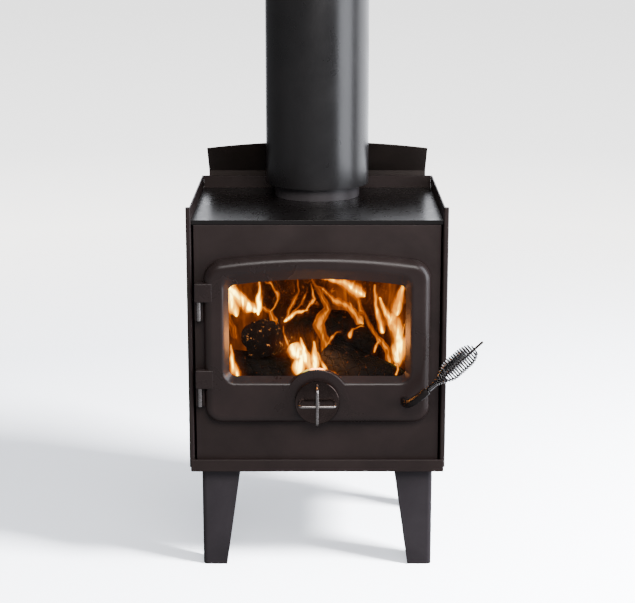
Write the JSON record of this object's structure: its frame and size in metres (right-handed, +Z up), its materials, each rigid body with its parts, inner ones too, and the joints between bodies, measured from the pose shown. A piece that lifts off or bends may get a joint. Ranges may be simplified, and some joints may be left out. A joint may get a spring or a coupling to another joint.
{
  "type": "wood burning stove",
  "caption": "Free-standing steel wood burning stove on angle legs, with a cast glazed door, spin draught control, coil-grip latch and a cased flue.",
  "frame": {"origin": "bottom centre of the bounding box, on the floor under the stove, handle included", "axes": "+Z up, -Y towards the front (the door side), +X to the right seen from the front"},
  "size_m": [0.5364, 0.4958, 1.2107],
  "materials": {
    "stove_paint": "textured matt high-temperature stove paint, warm dark brown-black",
    "cast_iron_paint": "cast iron under matt stove paint, fine cast texture",
    "cook_plate_paint": "semi-matt black stove paint",
    "shield_paint": "matt black stove paint on sheet steel",
    "flue_paint": "satin dark grey flue paint",
    "bright_wire": "bright spring steel wire",
    "dark_steel": "oil-dark mild steel",
    "plain_steel": "zinc plated steel",
    "firebrick": "pressed vermiculite firebrick board",
    "ceramic_rope": "woven ceramic fibre rope",
    "ceramic_glass": "clear glass ceramic with a faint amber tint"
  },
  "bodies": {
    "stove": {"back_brick": "firebrick", "back_plate": "stove_paint", "baffle_plate": "dark_steel", "base_plate": "stove_paint", "casing_spacer_1": "plain_steel", "casing_spacer_2": "plain_steel", "casing_spacer_3": "plain_steel", "cook_plate": "cook_plate_paint", "firebox_floor": "dark_steel", "firebox_wall_left": "dark_steel", "firebox_wall_right": "dark_steel", "flue_casing": "flue_paint", "flue_collar": "flue_paint", "flue_pipe": "flue_paint", "front_lip": "stove_paint", "front_plate": "stove_paint", "hearth_brick": "firebrick", "hinge_bracket_lower": "stove_paint", "hinge_bracket_upper": "stove_paint", "hinge_pin_lower": "bright_wire", "hinge_pin_upper": "bright_wire", "latch_keeper": "dark_steel", "leg_bolt_front_left": "plain_steel", "leg_bolt_front_right": "plain_steel", "leg_bolt_rear_left": "plain_steel", "leg_bolt_rear_right": "plain_steel", "leg_front_left": "stove_paint", "leg_front_right": "stove_paint", "leg_rear_left": "stove_paint", "leg_rear_right": "stove_paint", "log_bar": "dark_steel", "rear_heat_shield": "shield_paint", "shield_standoff_lower_left": "plain_steel", "shield_standoff_lower_right": "plain_steel", "shield_standoff_upper_left": "plain_steel", "shield_standoff_upper_right": "plain_steel", "side_brick_left": "firebrick", "side_brick_right": "firebrick", "side_panel_left": "stove_paint", "side_panel_right": "stove_paint"},
    "door": {"air_spindle": "plain_steel", "door_frame": "cast_iron_paint", "door_rope_seal": "ceramic_rope", "glass_gasket": "ceramic_rope", "glass_retainer_left": "plain_steel", "glass_retainer_right": "plain_steel", "window_glass": "ceramic_glass"},
    "latch": {"coil_grip": "bright_wire", "grip_rod": "dark_steel", "handle_arm": "dark_steel", "latch_cam": "dark_steel", "latch_nut": "plain_steel", "latch_spindle": "plain_steel"},
    "air_carrier": {"air_friction_washer": "plain_steel"},
    "air_knob": {"air_disc": "dark_steel", "air_wire_level": "bright_wire", "air_wire_upright": "bright_wire"}
  },
  "joints": [
    {"name": "door_swing", "type": "hinge", "parent": "stove", "child": "door", "pos_m": [-0.24588, -0.1681, 0.44], "axis": [0, 0, -1], "range_deg": [0, 120]},
    {"name": "latch_turn", "type": "hinge", "parent": "door", "child": "latch", "pos_m": [0.13043, -0.1751, 0.3348], "axis": [0, -1, 0], "range_deg": [-5, 70]},
    {"name": "air_travel", "type": "slide", "parent": "door", "child": "air_carrier", "axis": [0, -1, 0], "range_m": [-0.00172, 0.00602]},
    {"name": "air_spin", "type": "hinge", "parent": "air_carrier", "child": "air_knob", "pos_m": [-0.03018, -0.1836, 0.3348], "axis": [0, -1, 0], "range_deg": [-306, 1080]}
  ],
  "couplings": [
    {"joint": "air_travel", "follows": "air_spin", "m_per_rad": 0.00031831}
  ]
}
